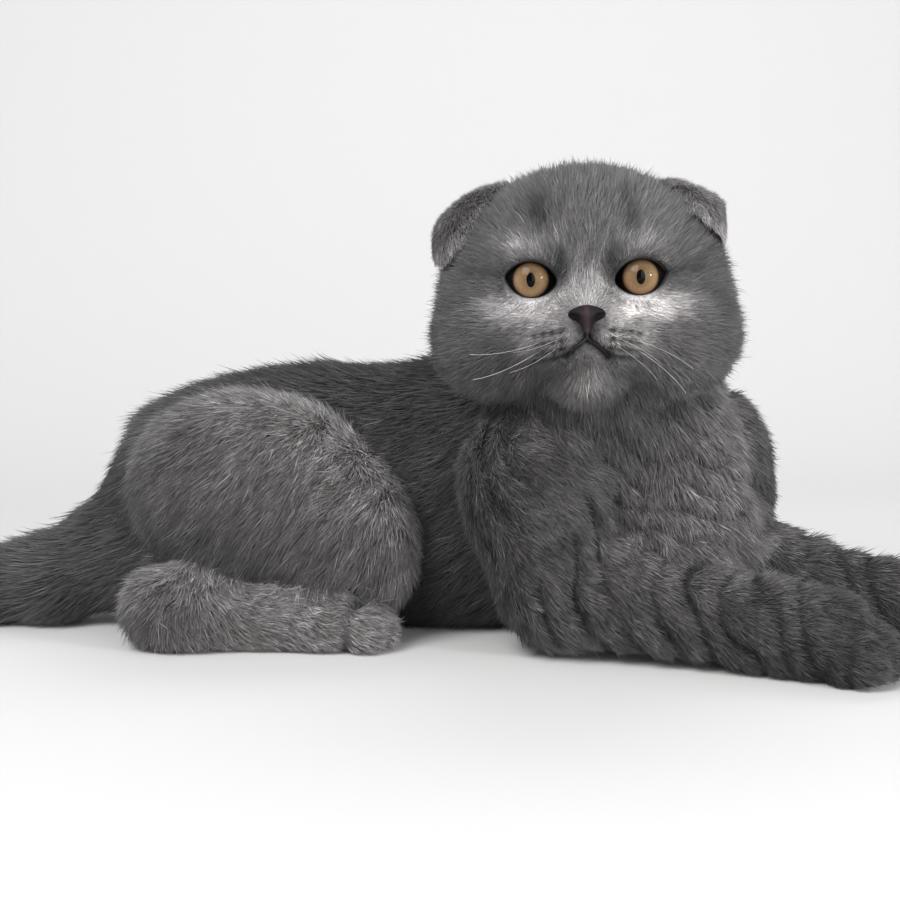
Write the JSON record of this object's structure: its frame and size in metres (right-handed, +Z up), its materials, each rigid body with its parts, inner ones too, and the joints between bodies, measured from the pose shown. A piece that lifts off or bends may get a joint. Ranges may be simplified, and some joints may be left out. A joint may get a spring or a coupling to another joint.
{
  "type": "scottish fold kitten",
  "caption": "Life-size still model of a grey short-haired kitten with folded ears, lying down with its forelegs stretched out and its head turned to the front.",
  "frame": {"origin": "on the floor under the middle of the whole body's box", "axes": "+X runs along the body from the tail to the forepaws and is the longest extent, -Y is the side the face looks to, +Z is up"},
  "size_m": [0.3818, 0.1622, 0.1462],
  "materials": {
    "coat": "short dense blue-grey fur",
    "eye": "wet amber iris with a slit pupil",
    "nose_leather": "matte dark grey nose leather"
  },
  "bodies": {
    "root": {"head": "coat", "ear_right": "coat", "ear_left": "coat", "eye_right": "eye", "eye_left": "eye", "nose": "nose_leather", "neck": "coat", "torso": "coat", "foreleg_right": "coat", "forepaw_right": "coat", "foreleg_left": "coat", "forepaw_left": "coat", "thigh_right": "coat", "hind_foot_right": "coat", "thigh_left": "coat", "hind_foot_left": "coat", "tail_base": "coat", "tail_tip": "coat"}
  },
  "joints": []
}
